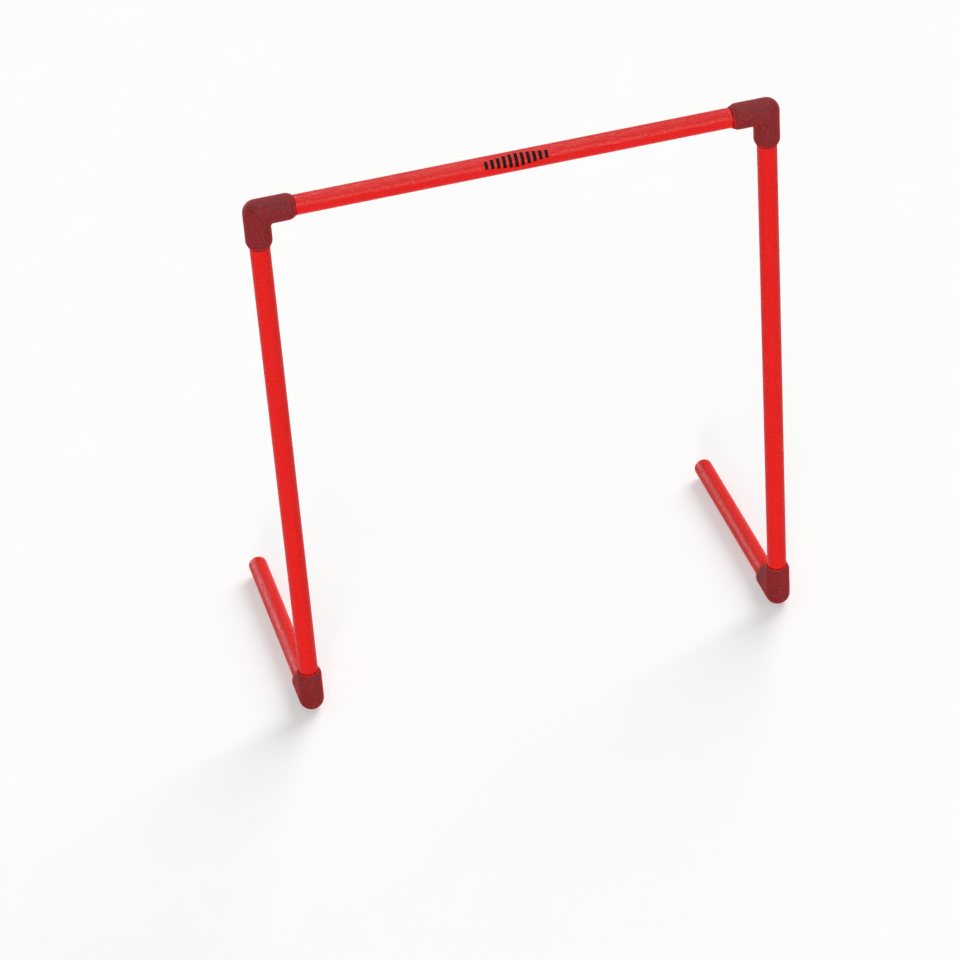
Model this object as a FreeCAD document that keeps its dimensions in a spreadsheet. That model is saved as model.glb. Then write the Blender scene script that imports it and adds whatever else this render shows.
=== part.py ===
"""Speed hurdle of 20 mm plastic tube: crossbar, two uprights and two feet that swivel flat.

Millimetres. +Z is up, +X runs along the crossbar and the feet point to +Y. The origin is on the
floor, under the middle of the hurdle's box. Four equal elbow mouldings join the tubes. The two upper
ones are cemented, and each heel elbow turns on the end of its upright.
"""
import FreeCAD, Part
import Sketcher
import os
from FreeCAD import Placement, Rotation, Vector

DIMENSIONS = {
    # The hurdle
    "overall_height": 610,        # floor to the top of the upper elbows
    "upright_spacing": 510,       # from one upright's axis to the other's
    "foot_reach": 248,            # upright's axis to the outer face of the foot plug
    # The tube
    "tube_diameter": 20,
    "tube_wall": 2,
    "tube_edge_break": 0.4,       # chamfer on the sawn ends
    # The elbow moulding
    "socket_clearance": 0.1,      # radial, between tube and socket
    "socket_wall": 3,
    "socket_depth": 23,
    "stop_width": 2.1,            # radial width of the shoulder that a tube end seats on
    "stop_land": 2.9,             # from that shoulder to the side of the other socket
    "mouth_chamfer": 0.5,
    "rim_taper": 2,               # radial, that the outside narrows towards a mouth
    "rim_taper_length": 4.5,
    "rim_rounding": 6,            # radius between that taper and the arm
    "crotch_rounding": 4,
    "swivel_gap": 0.2,            # upright's lower end to the heel shoulder it turns on
    # The foot plug
    "plug_head": 10,              # length of the head outside the tube
    "plug_floor": 4,              # thickness of the head's end wall, the rest is cored out
    "plug_rounding": 3,
    "plug_edge_break": 0.4,       # chamfer on the head's inner edge, against the tube
    "plug_spigot": 18,            # length inside the tube
    "plug_wall": 1.6,
    "spigot_clearance": 0.6,      # radial, between spigot and tube bore
    "rib_clearance": 0.05,        # radial, between gripping ribs and tube bore
    "rib_width": 2,
    "rib_pitch": 4.5,
    "rib_count": 3,
}

# Sizes and places that follow from the driving dimensions, as expressions on the sheet.
SHEET = "Dimensions"
ROUNDING_LIMIT = 0.8              # most of a wall that a rounding or taper may take


def size(name):
    return f"{SHEET}.{name}"


TUBE_RADIUS = f"({size('tube_diameter')} / 2)"
BORE_RADIUS = f"({TUBE_RADIUS} - {size('tube_wall')})"
SOCKET_RADIUS = f"({TUBE_RADIUS} + {size('socket_clearance')})"
ELBOW_RADIUS = f"({SOCKET_RADIUS} + {size('socket_wall')})"
WATERWAY_RADIUS = f"({SOCKET_RADIUS} - {size('stop_width')})"
STOP_REACH = f"({SOCKET_RADIUS} + {size('stop_land')})"
ARM_REACH = f"({STOP_REACH} + {size('socket_depth')})"
TAPER_FROM = f"({ARM_REACH} - {size('rim_taper_length')})"
MOUTH_WALL = f"({size('socket_wall')} - {size('mouth_chamfer')})"
RIM_TAPER = f"min({size('rim_taper')}; {MOUTH_WALL} * {ROUNDING_LIMIT})"

SPIGOT_RADIUS = f"({BORE_RADIUS} - {size('spigot_clearance')})"
RIB_RADIUS = f"({BORE_RADIUS} - {size('rib_clearance')})"
PLUG_ROUNDING = f"min({size('plug_rounding')}; {size('plug_head')} * {ROUNDING_LIMIT})"

SIDE_X = f"({size('upright_spacing')} / 2)"
UPRIGHT_Y = f"(({ELBOW_RADIUS} - {size('foot_reach')}) / 2)"
FOOT_Z = ELBOW_RADIUS
CROSSBAR_Z = f"({size('overall_height')} - {ELBOW_RADIUS})"

CROSSBAR_LENGTH = f"({size('upright_spacing')} - 2 * {STOP_REACH})"
UPRIGHT_FROM_Z = f"({FOOT_Z} + {STOP_REACH} + {size('swivel_gap')})"
UPRIGHT_LENGTH = f"({CROSSBAR_Z} - {STOP_REACH} - {UPRIGHT_FROM_Z})"
FOOT_TUBE_LENGTH = f"({size('foot_reach')} - {size('plug_head')} - {STOP_REACH})"

SAME_PLACE = 0.01                 # two places closer than this are one

# Turns of the parts from the way they are drawn to the way they sit.
AS_DRAWN = Rotation()
LIE_ALONG_X = Rotation(Vector(0, 1, 0), 90)
LIE_ALONG_Y = Rotation(Vector(1, 0, 0), -90)
UPPER_LEFT = Rotation(Vector(1, 0, 0), 180)
UPPER_RIGHT = Rotation(Vector(0, 1, 0), 180)
HEEL = Rotation(Vector(0, 0, 1), 90)

doc = FreeCAD.newDocument("SpeedHurdle")
sheet = doc.addObject("Spreadsheet::Sheet", SHEET)
for row, (name, number) in enumerate(DIMENSIONS.items(), start=1):
    sheet.set(f"A{row}", name)
    sheet.set(f"B{row}", str(number))
    sheet.setAlias(f"B{row}", name)
doc.recompute()


def value(expression):
    """The number that an expression gives now, as a starting value for a sketch."""
    return float(sheet.evalExpression(expression))


def new_body(label):
    body = doc.addObject("PartDesign::Body", label)
    body.Label = label
    return body


def place(body, turn, x, y, z):
    """Turn a body and bind its place to the sheet."""
    body.Placement = Placement(Vector(), turn)
    for axis, expression in (("x", x), ("y", y), ("z", z)):
        body.setExpression(f"Placement.Base.{axis}", expression)


def new_sketch(body, plane_role, name):
    plane = next(item for item in body.Origin.OriginFeatures if item.Role == plane_role)
    sketch = body.newObject("Sketcher::SketchObject", name)
    sketch.AttachmentSupport = (plane, [""])
    sketch.MapMode = "FlatFace"
    return sketch


def bind(sketch, constraint, expression):
    """Add a dimension to a sketch and bind it to the sheet."""
    index = sketch.addConstraint(constraint)
    sketch.setExpression(f"Constraints[{index}]", expression)


def draw_circle(sketch, radius):
    start = value(radius)
    circle = sketch.addGeometry(Part.Circle(Vector(), Vector(0, 0, 1), start))
    sketch.addConstraint(Sketcher.Constraint("Coincident", circle, 3, -1, 1))
    bind(sketch, Sketcher.Constraint("Radius", circle, start), radius)


def draw_outline(sketch, corners):
    """A closed outline through corners given as pairs of expressions; "0" lies on an axis."""
    starts = [Vector(value(x), value(y)) for x, y in corners]
    ends = starts[1:] + starts[:1]
    lines = [sketch.addGeometry(Part.LineSegment(a, b)) for a, b in zip(starts, ends)]
    for line, following in zip(lines, lines[1:] + lines[:1]):
        sketch.addConstraint(Sketcher.Constraint("Coincident", line, 2, following, 1))
    for line, start, (x, y) in zip(lines, starts, corners):
        if x == "0":
            sketch.addConstraint(Sketcher.Constraint("PointOnObject", line, 1, -2))
        else:
            bind(sketch, Sketcher.Constraint("DistanceX", -1, 1, line, 1, start.x), x)
        if y == "0":
            sketch.addConstraint(Sketcher.Constraint("PointOnObject", line, 1, -1))
        else:
            bind(sketch, Sketcher.Constraint("DistanceY", -1, 1, line, 1, start.y), y)


def pad(body, sketch, name, length):
    feature = body.newObject("PartDesign::Pad", name)
    feature.Profile = sketch
    feature.setExpression("Length", length)
    return feature


def turn_profile(body, kind, sketch, name, axis):
    """A full Revolution or Groove of a sketch about one of the sketch's own axes."""
    feature = body.newObject(f"PartDesign::{kind}", name)
    feature.Profile = sketch
    feature.ReferenceAxis = (sketch, [axis])
    feature.Angle = 360
    return feature


def ball(body, kind, name, radius):
    feature = body.newObject(f"PartDesign::{kind}Sphere", name)
    feature.setExpression("Radius", radius)
    return feature


def edges_of(feature, chosen):
    """Names of a feature's edges whose curve passes a test."""
    doc.recompute()
    numbered = enumerate(feature.Shape.Edges, start=1)
    return [f"Edge{i}" for i, edge in numbered if not edge.Degenerated and chosen(edge.Curve)]


def dress(body, kind, base, name, chosen, property_name, amount):
    """A Fillet or Chamfer on the edges of base that pass a test."""
    names = edges_of(base, chosen)
    feature = body.newObject(f"PartDesign::{kind}", name)
    feature.Base = (base, names)
    feature.setExpression(property_name, amount)
    return feature


def is_circle(curve):
    return isinstance(curve, Part.Circle)


def is_ellipse(curve):
    return isinstance(curve, Part.Ellipse)


def circle_centred(distance):
    """A test for circles whose centre lies at a distance from the body's origin."""
    return lambda curve: is_circle(curve) and abs(curve.Center.Length - distance) < SAME_PLACE


def make_tube(label, length):
    """Extruded tube, drawn from its seat along +Z, with both sawn ends chamfered."""
    body = new_body(label)
    section = new_sketch(body, "XY_Plane", f"{label}_section")
    draw_circle(section, TUBE_RADIUS)
    draw_circle(section, BORE_RADIUS)
    extrusion = pad(body, section, f"{label}_extrusion", length)
    dress(body, "Chamfer", extrusion, f"{label}_edges", is_circle, "Size", size("tube_edge_break"))
    return body


def make_elbow(label):
    """Elbow moulding, drawn with its axes crossing at its origin and its arms along +X and +Z."""
    body = new_body(label)
    for plane, arm in (("YZ_Plane", "side_arm"), ("XY_Plane", "upper_arm")):
        section = new_sketch(body, plane, f"{label}_{arm}_section")
        draw_circle(section, ELBOW_RADIUS)
        pad(body, section, f"{label}_{arm}", ARM_REACH)
    corner = ball(body, "Additive", f"{label}_corner", ELBOW_RADIUS)
    at_mouths = circle_centred(value(ARM_REACH))
    tapers = dress(body, "Chamfer", corner, f"{label}_tapers", at_mouths, "Size", size("rim_taper_length"))
    tapers.ChamferType = "Two distances"
    tapers.setExpression("Size2", RIM_TAPER)
    at_tapers = circle_centred(value(TAPER_FROM))
    rims = dress(body, "Fillet", tapers, f"{label}_rims", at_tapers, "Radius", size("rim_rounding"))
    dress(body, "Fillet", rims, f"{label}_crotch", is_ellipse, "Radius", size("crotch_rounding"))
    cut_socket(body, f"{label}_side_socket", "H_Axis")
    cut_socket(body, f"{label}_upper_socket", "V_Axis")
    ball(body, "Subtractive", f"{label}_waterway", WATERWAY_RADIUS)
    return body


def cut_socket(body, name, axis):
    """Waterway, stop shoulder, socket and mouth chamfer, turned about one arm's axis."""
    mouth_radius = f"({SOCKET_RADIUS} + {size('mouth_chamfer')})"
    chamfer_from = f"({ARM_REACH} - {size('mouth_chamfer')})"
    outline = [
        ("0", "0"),
        (ARM_REACH, "0"),
        (ARM_REACH, mouth_radius),
        (chamfer_from, SOCKET_RADIUS),
        (STOP_REACH, SOCKET_RADIUS),
        (STOP_REACH, WATERWAY_RADIUS),
        ("0", WATERWAY_RADIUS),
    ]
    if axis == "V_Axis":
        outline = [(across, along) for along, across in outline]
    section = new_sketch(body, "XZ_Plane", f"{name}_section")
    draw_outline(section, outline)
    turn_profile(body, "Groove", section, name, axis)


def make_plug(label):
    """Hollow foot plug, drawn from the inner end of its spigot along +Z to its rounded head."""
    body = new_body(label)
    spigot = size("plug_spigot")
    top = f"({spigot} + {size('plug_head')})"
    core_end = f"({top} - {size('plug_floor')})"
    edge_break = size("plug_edge_break")
    hollow_radius = f"({SPIGOT_RADIUS} - {size('plug_wall')})"
    section = new_sketch(body, "XZ_Plane", f"{label}_section")
    draw_outline(
        section,
        [
            (hollow_radius, "0"),
            (SPIGOT_RADIUS, "0"),
            (SPIGOT_RADIUS, spigot),
            (f"({TUBE_RADIUS} - {edge_break})", spigot),
            (TUBE_RADIUS, f"({spigot} + {edge_break})"),
            (TUBE_RADIUS, top),
            ("0", top),
            ("0", core_end),
            (hollow_radius, core_end),
        ],
    )
    moulding = turn_profile(body, "Revolution", section, f"{label}_moulding", "V_Axis")
    at_top = circle_centred(value(top))
    dress(body, "Fillet", moulding, f"{label}_rounding", at_top, "Radius", PLUG_ROUNDING)
    rib_section = new_sketch(body, "XZ_Plane", f"{label}_rib_section")
    half_wall_radius = f"({SPIGOT_RADIUS} - {size('plug_wall')} / 2)"
    rib_from = size("rib_width")
    rib_to = f"(2 * {size('rib_width')})"
    draw_outline(
        rib_section,
        [
            (half_wall_radius, rib_from),
            (SPIGOT_RADIUS, rib_from),
            (RIB_RADIUS, rib_to),
            (half_wall_radius, rib_to),
        ],
    )
    rib = turn_profile(body, "Revolution", rib_section, f"{label}_rib", "V_Axis")
    doc.recompute()
    ribs = body.newObject("PartDesign::LinearPattern", f"{label}_ribs")
    ribs.Originals = [rib]
    ribs.Direction = (rib_section, ["V_Axis"])
    ribs.setExpression("Occurrences", size("rib_count"))
    ribs.setExpression("Length", f"{size('rib_pitch')} * ({size('rib_count')} - 1)")
    body.Tip = ribs
    return body


parts = []

crossbar = make_tube("crossbar", CROSSBAR_LENGTH)
place(crossbar, LIE_ALONG_X, f"-{CROSSBAR_LENGTH} / 2", UPRIGHT_Y, CROSSBAR_Z)
parts.append(crossbar)

for side, sign, upper_turn in (("left", "-", UPPER_LEFT), ("right", "", UPPER_RIGHT)):
    x = f"{sign}{SIDE_X}"

    upright = make_tube(f"{side}_upright", UPRIGHT_LENGTH)
    place(upright, AS_DRAWN, x, UPRIGHT_Y, UPRIGHT_FROM_Z)

    foot_tube = make_tube(f"{side}_foot_tube", FOOT_TUBE_LENGTH)
    place(foot_tube, LIE_ALONG_Y, x, f"{UPRIGHT_Y} + {STOP_REACH}", FOOT_Z)

    upper_elbow = make_elbow(f"{side}_upper_elbow")
    place(upper_elbow, upper_turn, x, UPRIGHT_Y, CROSSBAR_Z)

    heel_elbow = make_elbow(f"{side}_heel_elbow")
    place(heel_elbow, HEEL, x, UPRIGHT_Y, FOOT_Z)

    plug = make_plug(f"{side}_foot_plug")
    plug_from = f"{UPRIGHT_Y} + {STOP_REACH} + {FOOT_TUBE_LENGTH} - {size('plug_spigot')}"
    place(plug, LIE_ALONG_Y, x, plug_from, FOOT_Z)

    parts += [upright, foot_tube, upper_elbow, heel_elbow, plug]

doc.recompute()

for item in doc.Objects:
    faults = {"Invalid", "Error"} & set(item.State)
    if faults:
        raise RuntimeError(f"{item.Label} is {faults}")
    if item.isDerivedFrom("Sketcher::SketchObject") and not item.FullyConstrained:
        raise RuntimeError(f"{item.Label} is not fully constrained")

for body in parts:
    shape = body.Shape
    if shape.isNull() or not shape.isValid() or len(shape.Solids) != 1:
        raise RuntimeError(f"{body.Label} is not one valid solid")

os.makedirs("parts", exist_ok=True)
for body in parts:
    body.Shape.exportStep(f"parts/{body.Label}.step")
    print(f"{body.Label}: {body.Shape.Volume:.0f} mm3")
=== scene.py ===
# %% [markdown]
# # A low training hurdle of red plastic tube
# The real object is five lengths of extruded tube, four moulded elbows and two foot plugs. The imported CAD
# model is the frame for all of it: it says how long, how thick and where each piece is, and which pieces
# turn together. This lesson dresses that frame.

# %% Load the imported hurdle
import math

import bmesh
import bpy
from mathutils import Matrix, Vector


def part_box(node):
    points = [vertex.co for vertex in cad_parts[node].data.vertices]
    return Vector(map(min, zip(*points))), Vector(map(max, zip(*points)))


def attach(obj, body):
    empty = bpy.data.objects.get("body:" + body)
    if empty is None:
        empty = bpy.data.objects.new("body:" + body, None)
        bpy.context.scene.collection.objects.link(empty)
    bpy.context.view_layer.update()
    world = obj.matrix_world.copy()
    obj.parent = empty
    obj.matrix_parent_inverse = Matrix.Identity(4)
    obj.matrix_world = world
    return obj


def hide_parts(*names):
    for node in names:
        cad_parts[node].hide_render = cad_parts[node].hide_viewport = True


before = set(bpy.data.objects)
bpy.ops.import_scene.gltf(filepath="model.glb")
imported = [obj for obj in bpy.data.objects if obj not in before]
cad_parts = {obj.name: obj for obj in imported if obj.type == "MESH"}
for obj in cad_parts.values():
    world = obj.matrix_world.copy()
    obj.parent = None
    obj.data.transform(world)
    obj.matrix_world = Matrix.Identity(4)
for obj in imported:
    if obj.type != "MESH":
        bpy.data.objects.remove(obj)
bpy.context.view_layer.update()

# %% [markdown]
# ## Two helpers
# Every finish below is a small tree of nodes, and so is every piece that follows a rule. One function adds
# a node with its settings and its links, so that a tree reads from top to bottom. Where a node has several
# sockets of one name, it is told their numbers: on a Mix node for colours, 0 is the factor, 6 and 7 are the
# two colours, and output 2 is the mixture. On a Mix node for numbers these are 0, 2, 3 and output 0.
# Colours are written as sRGB hex values, the way a colour picker shows them, but the shader works in linear
# light, so a second function converts them.

# %% Helpers for nodes and colours
MM = 0.001


def add_node(tree, kind, inputs=None, **settings):
    """Add one node. An input, by name or number, is a value to set or another node's output to link."""
    node = tree.nodes.new(kind)
    for name, setting in settings.items():
        setattr(node, name, setting)
    for socket, given in (inputs or {}).items():
        if isinstance(given, bpy.types.NodeSocket):
            tree.links.new(given, node.inputs[socket])
        else:
            node.inputs[socket].default_value = given
    return node


def hex_to_linear(code):
    """Linear red, green, blue and alpha of an sRGB hex colour."""
    channels = [int(code[start:start + 2], 16) / 255 for start in (1, 3, 5)]
    linear = [c / 12.92 if c <= 0.04045 else ((c + 0.055) / 1.055) ** 2.4 for c in channels]
    return (*linear, 1.0)


print("mid grey #808080 in linear light:", round(hex_to_linear("#808080")[0], 3))

# %% [markdown]
# ## Where things are
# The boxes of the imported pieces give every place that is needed: the crossbar's axis, the tube's radius and
# the planes of the elbow mouths. Reading them here means that no number is typed twice, and that the looks
# follow the CAD model if a size changes there.

# %% Read sizes from the frame
bar_low, bar_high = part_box("crossbar")
upper_low, upper_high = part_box("left_upper_elbow")
heel_low, heel_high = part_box("left_heel_elbow")
upright_low, upright_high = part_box("left_upright")
TUBE_RADIUS = (bar_high.z - bar_low.z) / 2
BAR_AXIS = (bar_low + bar_high) / 2
UPRIGHT_AXIS = (upright_low + upright_high) / 2
SIDE_X = abs(UPRIGHT_AXIS.x)                     # the right upright; the left one mirrors it
HALF_WAY_UP = UPRIGHT_AXIS.z
FOOT_AXIS_Z = (heel_high.x - heel_low.x) / 2     # a heel stands on its round underside
BAR_MOUTH_X = abs(upper_high.x)
UPRIGHT_MOUTH_Z = upper_low.z
LEG_MOUTH_Z = heel_high.z
FOOT_MOUTH_Y = heel_high.y
print(f"tube radius {TUBE_RADIUS / MM:.2f} mm, bar axis at z {BAR_AXIS.z / MM:.1f} mm")

# %% [markdown]
# ## Rigid PVC, extruded
# The tubes are rigid PVC, pushed hot through a ring-shaped die and cut to length. That gives the eye an
# even, semi-gloss red with faint lines along the tube where the die scraped it, a skin that waves a little
# like orange peel, and soft pale scuffs from handling. The pattern has to run along each tube, so it reads
# a vector attribute that the tube's own nodes store, with Z along the tube, and not the place in the room.
# The corner where a tube leaves an elbow gets painted shade, a dark line for the shadow in the gap. A second
# attribute says how far a point is past the mouths at the two ends, so the dark line can fade out within a
# millimetre or two.
# The base colour is deeper than the red in the photograph, because the gloss adds a little white to it. The
# specular level is well under the shader's usual 0.5: a worn skin mirrors its surroundings only weakly.

# %% Finish of the tubes: skin and reds
DIE_LINE = 0.9 * MM          # real die lines are about 0.2 mm apart, drawn coarser so that they show
DIE_RUN = 180 * MM
PEEL = 2.2 * MM
TONE_PATCH = 55 * MM
SPECKLE = 1.3 * MM           # pigment specks are finer, drawn coarser so that they show


def start_material(name):
    """A material with a Principled shader and nothing else."""
    material = bpy.data.materials.new(name)
    material.use_nodes = True
    tree = material.node_tree
    tree.nodes.clear()
    shader = add_node(tree, "ShaderNodeBsdfPrincipled")
    add_node(tree, "ShaderNodeOutputMaterial", {"Surface": shader.outputs["BSDF"]})
    return material, tree, shader


pvc, tree, shader = start_material("rigid PVC, extruded red")
shader.inputs["IOR"].default_value = 1.54
shader.inputs["Specular IOR Level"].default_value = 0.08
local = add_node(tree, "ShaderNodeAttribute", attribute_name="tube_local").outputs["Vector"]

stretched = add_node(
    tree,
    "ShaderNodeMapping",
    {"Vector": local, "Scale": (1 / DIE_LINE, 1 / DIE_LINE, 1 / DIE_RUN)},
)
die_lines = add_node(
    tree, "ShaderNodeTexNoise", {"Vector": stretched.outputs["Vector"], "Scale": 1.0, "Detail": 2.0}
)
peel = add_node(tree, "ShaderNodeTexNoise", {"Vector": local, "Scale": 1 / PEEL, "Detail": 1.0})
tone = add_node(tree, "ShaderNodeTexNoise", {"Vector": local, "Scale": 1 / TONE_PATCH, "Detail": 2.0})
speckle = add_node(tree, "ShaderNodeTexNoise", {"Vector": local, "Scale": 1 / SPECKLE, "Detail": 1.0})

reds = add_node(
    tree,
    "ShaderNodeMix",
    {0: tone.outputs["Fac"], 6: hex_to_linear("#EA211E"), 7: hex_to_linear("#E21E1B")},
    data_type="RGBA",
)
speck_strength = add_node(
    tree,
    "ShaderNodeMapRange",
    {"Value": speckle.outputs["Fac"], "From Min": 0.3, "From Max": 0.7, "To Min": 0.0, "To Max": 0.24},
)
specked = add_node(
    tree,
    "ShaderNodeMix",
    {0: speck_strength.outputs["Result"], 6: reds.outputs[2], 7: hex_to_linear("#B80A0C")},
    data_type="RGBA",
)
print(f"finish: {pvc.name}, die lines drawn {DIE_LINE / MM:.1f} mm apart")

# %% Finish of the tubes: scuffs
SCUFF_LENGTH = 9 * MM
SCUFF_WIDTH = 0.8 * MM
SCUFF_PATCH = 38 * MM
SCUFF_STRENGTH = 0.35
scuff_space = add_node(
    tree,
    "ShaderNodeMapping",
    {"Vector": local, "Scale": (1 / SCUFF_LENGTH, 1 / SCUFF_LENGTH, 1 / SCUFF_WIDTH)},
)
scratches = add_node(
    tree, "ShaderNodeTexNoise", {"Vector": scuff_space.outputs["Vector"], "Scale": 1.0, "Detail": 3.0}
)
scratch_mask = add_node(
    tree, "ShaderNodeMapRange", {"Value": scratches.outputs["Fac"], "From Min": 0.62, "From Max": 0.74}
)
patches = add_node(tree, "ShaderNodeTexNoise", {"Vector": local, "Scale": 1 / SCUFF_PATCH, "Detail": 1.0})
patch_mask = add_node(
    tree,
    "ShaderNodeMapRange",
    {"Value": patches.outputs["Fac"], "From Min": 0.55, "From Max": 0.7, "To Max": SCUFF_STRENGTH},
)
scuffs = add_node(
    tree,
    "ShaderNodeMath",
    {0: scratch_mask.outputs["Result"], 1: patch_mask.outputs["Result"]},
    operation="MULTIPLY",
)
scuffed = add_node(
    tree,
    "ShaderNodeMix",
    {0: scuffs.outputs["Value"], 6: specked.outputs[2], 7: hex_to_linear("#E8706A")},
    data_type="RGBA",
)
print(f"scuffs about {SCUFF_LENGTH / MM:.0f} mm long, in patches of {SCUFF_PATCH / MM:.0f} mm")

# %% Finish of the tubes: painted shade beside the mouths
MOUTH_SHADE_REACH = 1.4 * MM       # from an elbow's mouth along the tube
MOUTH_SHADE_PATCH = 3 * MM
past_mouths = add_node(tree, "ShaderNodeAttribute", attribute_name="past_mouths").outputs["Vector"]
both_ends = add_node(tree, "ShaderNodeSeparateXYZ", {"Vector": past_mouths})
nearest = add_node(
    tree,
    "ShaderNodeMath",
    {0: both_ends.outputs["X"], 1: both_ends.outputs["Y"]},
    operation="MINIMUM",
)
beside_mouth = add_node(
    tree,
    "ShaderNodeMapRange",
    {"Value": nearest.outputs["Value"], "From Max": MOUTH_SHADE_REACH, "To Min": 1.0, "To Max": 0.0},
    interpolation_type="SMOOTHSTEP",
)
mouth_shade_noise = add_node(
    tree, "ShaderNodeTexNoise", {"Vector": local, "Scale": 1 / MOUTH_SHADE_PATCH, "Detail": 2.0}
)
mouth_shade_mask = add_node(
    tree,
    "ShaderNodeMapRange",
    {"Value": mouth_shade_noise.outputs["Fac"], "From Min": 0.38, "From Max": 0.6, "To Min": 0.1, "To Max": 0.95},
)
mouth_shade = add_node(
    tree,
    "ShaderNodeMath",
    {0: beside_mouth.outputs["Result"], 1: mouth_shade_mask.outputs["Result"]},
    operation="MULTIPLY",
)
# painted shade: a dark, patchy line on the tube beside each elbow's mouth, for the shadow in the gap
mouth_shaded = add_node(
    tree,
    "ShaderNodeMix",
    {0: mouth_shade.outputs["Value"], 6: scuffed.outputs[2], 7: hex_to_linear("#3A0A08")},
    data_type="RGBA",
)
tree.links.new(mouth_shaded.outputs[2], shader.inputs["Base Color"])
print(f"dirt within {MOUTH_SHADE_REACH / MM:.1f} mm of a mouth")

# %% Finish of the tubes: gloss and relief
SCUFF_MATTNESS = 0.4         # added to the roughness where a scuff is
DIE_DEPTH = 0.04 * MM
PEEL_DEPTH = 0.5 * MM        # the real skin is flatter, drawn deeper so that it shows
gloss = add_node(
    tree,
    "ShaderNodeMapRange",
    {"Value": peel.outputs["Fac"], "From Min": 0.38, "From Max": 0.62, "To Min": 0.24, "To Max": 0.52},
)
rubbed = add_node(
    tree,
    "ShaderNodeMath",
    {0: scuffs.outputs["Value"], 1: SCUFF_MATTNESS, 2: gloss.outputs["Result"]},
    operation="MULTIPLY_ADD",
)
tree.links.new(rubbed.outputs["Value"], shader.inputs["Roughness"])
die_relief = add_node(
    tree,
    "ShaderNodeBump",
    {"Height": die_lines.outputs["Fac"], "Strength": 0.25, "Distance": DIE_DEPTH},
)
peel_relief = add_node(
    tree,
    "ShaderNodeBump",
    {
        "Height": peel.outputs["Fac"],
        "Strength": 0.7,
        "Distance": PEEL_DEPTH,
        "Normal": die_relief.outputs["Normal"],
    },
)
tree.links.new(peel_relief.outputs["Normal"], shader.inputs["Normal"])
print("finish:", pvc.name, "with", len(tree.nodes), "nodes")

# %% [markdown]
# ## The five tubes
# A tube follows a rule: one slice through its wall, swept round its axis, with both sawn ends chamfered. A
# cylinder with a Solidify modifier could do it, but then length, wall and chamfer would sit in three
# places. Here one Geometry Nodes tree has them as named inputs. It draws the slice, chamfers its corners
# and sweeps it round a circle. Before the tube is put in its place, the tree stores each point's own
# position, so that the finish knows which way the tube runs, and its distance past the mouths of the elbows
# at the two ends.

# %% Nodes of a tube: the sweep
def add_inputs(tree, sockets):
    """Named inputs of a tree, and its one output of geometry."""
    for name, kind in sockets.items():
        tree.interface.new_socket(name, in_out="INPUT", socket_type=kind)
    tree.interface.new_socket("Geometry", in_out="OUTPUT", socket_type="NodeSocketGeometry")
    return add_node(tree, "NodeGroupInput").outputs


tube_tree = bpy.data.node_groups.new("extruded tube", "GeometryNodeTree")
given = add_inputs(
    tube_tree,
    {
        "Length": "NodeSocketFloat",
        "Outer Radius": "NodeSocketFloat",
        "Wall": "NodeSocketFloat",
        "Edge Break": "NodeSocketFloat",
        "Sides": "NodeSocketInt",
        "Cut From": "NodeSocketFloat",
        "Near Depth": "NodeSocketFloat",
        "Far Depth": "NodeSocketFloat",
        "Start": "NodeSocketVector",
        "Turn": "NodeSocketRotation",
        "Finish": "NodeSocketMaterial",
    },
)
slice_outline = add_node(
    tube_tree,
    "GeometryNodeCurvePrimitiveQuadrilateral",
    {"Width": given["Wall"], "Height": given["Length"]},
)
broken_edges = add_node(
    tube_tree,
    "GeometryNodeFilletCurve",
    {"Curve": slice_outline.outputs["Curve"], "Count": 1, "Radius": given["Edge Break"]},
    mode="POLY",
)
half_wall = add_node(tube_tree, "ShaderNodeMath", {0: given["Wall"], 1: 0.5}, operation="MULTIPLY")
middle_radius = add_node(
    tube_tree,
    "ShaderNodeMath",
    {0: given["Outer Radius"], 1: half_wall.outputs["Value"]},
    operation="SUBTRACT",
)
round_path = add_node(
    tube_tree,
    "GeometryNodeCurvePrimitiveCircle",
    {"Resolution": given["Sides"], "Radius": middle_radius.outputs["Value"]},
)
swept = add_node(
    tube_tree,
    "GeometryNodeCurveToMesh",
    {"Curve": round_path.outputs["Curve"], "Profile Curve": broken_edges.outputs["Curve"]},
)
half_length = add_node(tube_tree, "ShaderNodeMath", {0: given["Length"], 1: 0.5}, operation="MULTIPLY")
lift = add_node(tube_tree, "ShaderNodeCombineXYZ", {"Z": half_length.outputs["Value"]})
from_seat = add_node(
    tube_tree,
    "GeometryNodeTransform",
    {"Geometry": swept.outputs["Mesh"], "Translation": lift.outputs["Vector"]},
)
print("tree:", tube_tree.name, "with", len(given) - 1, "inputs")

# %% Nodes of a tube: what its finish reads
position = add_node(tube_tree, "GeometryNodeInputPosition").outputs["Position"]
cut_place = add_node(tube_tree, "ShaderNodeCombineXYZ", {"Z": given["Cut From"]})
own_place = add_node(
    tube_tree,
    "ShaderNodeVectorMath",
    {0: position, 1: cut_place.outputs["Vector"]},
    operation="ADD",
)
marked = add_node(
    tube_tree,
    "GeometryNodeStoreNamedAttribute",
    {"Geometry": from_seat.outputs["Geometry"], "Name": "tube_local"},
    data_type="FLOAT_VECTOR",
    domain="POINT",
)
tube_tree.links.new(own_place.outputs["Vector"], marked.inputs["Value"])
along = add_node(tube_tree, "ShaderNodeSeparateXYZ", {"Vector": position})
past_near = add_node(
    tube_tree,
    "ShaderNodeMath",
    {0: along.outputs["Z"], 1: given["Near Depth"]},
    operation="SUBTRACT",
)
to_end = add_node(
    tube_tree,
    "ShaderNodeMath",
    {0: given["Length"], 1: along.outputs["Z"]},
    operation="SUBTRACT",
)
past_far = add_node(
    tube_tree,
    "ShaderNodeMath",
    {0: to_end.outputs["Value"], 1: given["Far Depth"]},
    operation="SUBTRACT",
)
past_both = add_node(
    tube_tree,
    "ShaderNodeCombineXYZ",
    {"X": past_near.outputs["Value"], "Y": past_far.outputs["Value"]},
)
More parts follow.
